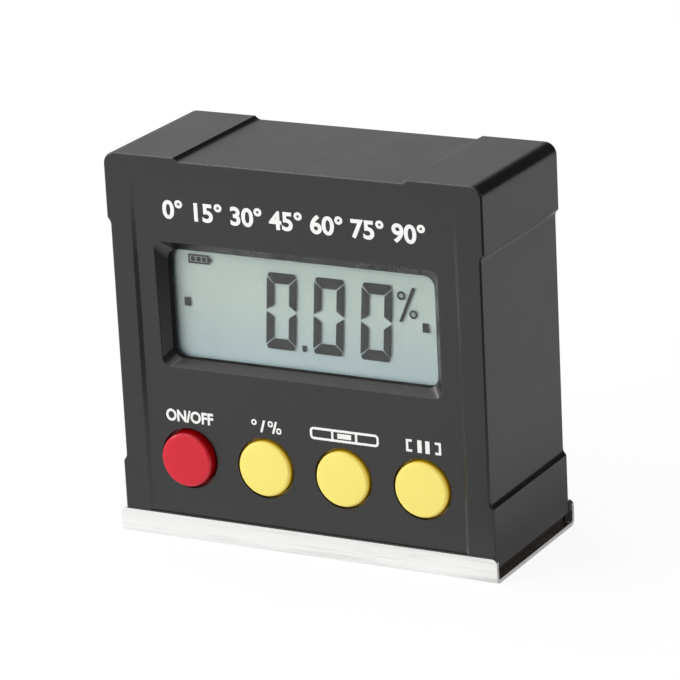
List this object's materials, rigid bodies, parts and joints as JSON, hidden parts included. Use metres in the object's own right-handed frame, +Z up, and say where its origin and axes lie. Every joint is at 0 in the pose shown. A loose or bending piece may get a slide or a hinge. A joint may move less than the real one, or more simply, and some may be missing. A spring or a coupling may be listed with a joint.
{
  "type": "digital inclinometer",
  "caption": "Box-shaped digital angle gauge: waisted black housing on a magnetic steel channel, framed segment display, push buttons and a hinged battery door.",
  "frame": {"origin": "middle of the steel channel's flat underside, on the surface that the gauge stands on", "axes": "+X to the right of the display, +Y from the front panel to the back, +Z up"},
  "size_m": [0.061, 0.0261, 0.0576],
  "materials": {
    "housing": "moulded black ABS, fine satin",
    "cover": "moulded black ABS, fine spark-eroded texture",
    "steel": "folded stainless sheet, satin brushed",
    "spacer": "dark sheet",
    "magnet": "nickel-plated magnet",
    "screw": "zinc-plated steel",
    "lens": "clear",
    "glass": "clear display glass",
    "reflector": "grey-green reflecting film",
    "frame": "black",
    "elastomer": "layered elastomer strip",
    "board": "green lacquered laminate",
    "chip": "moulded package",
    "can": "drawn metal can",
    "capacitor": "fired ceramic",
    "switch": "black moulded case",
    "power_cap": "red moulded plastic",
    "key_cap": "yellow moulded plastic",
    "plunger": "natural acetal",
    "cell": "plain wrapped cell",
    "contact": "nickel-plated spring steel"
  },
  "bodies": {
    "root": {"front_housing": "housing", "rear_cover": "cover", "base_channel": "steel", "base_spacer": "spacer", "base_magnets": "magnet", "base_screws": "screw", "cover_screws": "screw", "window_lens": "lens", "display_front_glass": "glass", "display_rear_glass": "glass", "display_reflector": "reflector", "display_frame": "frame", "display_connectors": "elastomer", "main_board": "board", "board_screws": "screw", "controller_chip": "chip", "tilt_sensor": "chip", "clock_crystal": "can", "chip_capacitors": "capacitor", "switch_bodies": "switch", "upper_cell": "cell", "lower_cell": "cell", "link_contact": "contact", "negative_contact": "contact", "positive_contact": "contact", "upper_spring": "contact", "lower_spring": "contact"},
    "power_key": {"power_button": "power_cap", "power_plunger": "plunger"},
    "unit_key": {"unit_button": "key_cap", "unit_plunger": "plunger"},
    "zero_key": {"zero_button": "key_cap", "zero_plunger": "plunger"},
    "hold_key": {"hold_button": "key_cap", "hold_plunger": "plunger"},
    "door": {"battery_door": "cover"}
  },
  "joints": [
    {"name": "power_press", "type": "slide", "parent": "root", "child": "power_key", "axis": [0, 1, 0], "range_m": [0, 0.0005], "stiffness_N_per_m": 900},
    {"name": "unit_press", "type": "slide", "parent": "root", "child": "unit_key", "axis": [0, 1, 0], "range_m": [0, 0.0005], "stiffness_N_per_m": 900},
    {"name": "zero_press", "type": "slide", "parent": "root", "child": "zero_key", "axis": [0, 1, 0], "range_m": [0, 0.0005], "stiffness_N_per_m": 900},
    {"name": "hold_press", "type": "slide", "parent": "root", "child": "hold_key", "axis": [0, 1, 0], "range_m": [0, 0.0005], "stiffness_N_per_m": 900},
    {"name": "door_hinge", "type": "hinge", "parent": "root", "child": "door", "pos_m": [0, 0.01225, 0.0162], "axis": [-1, 0, 0], "range_deg": [0, 80]}
  ]
}
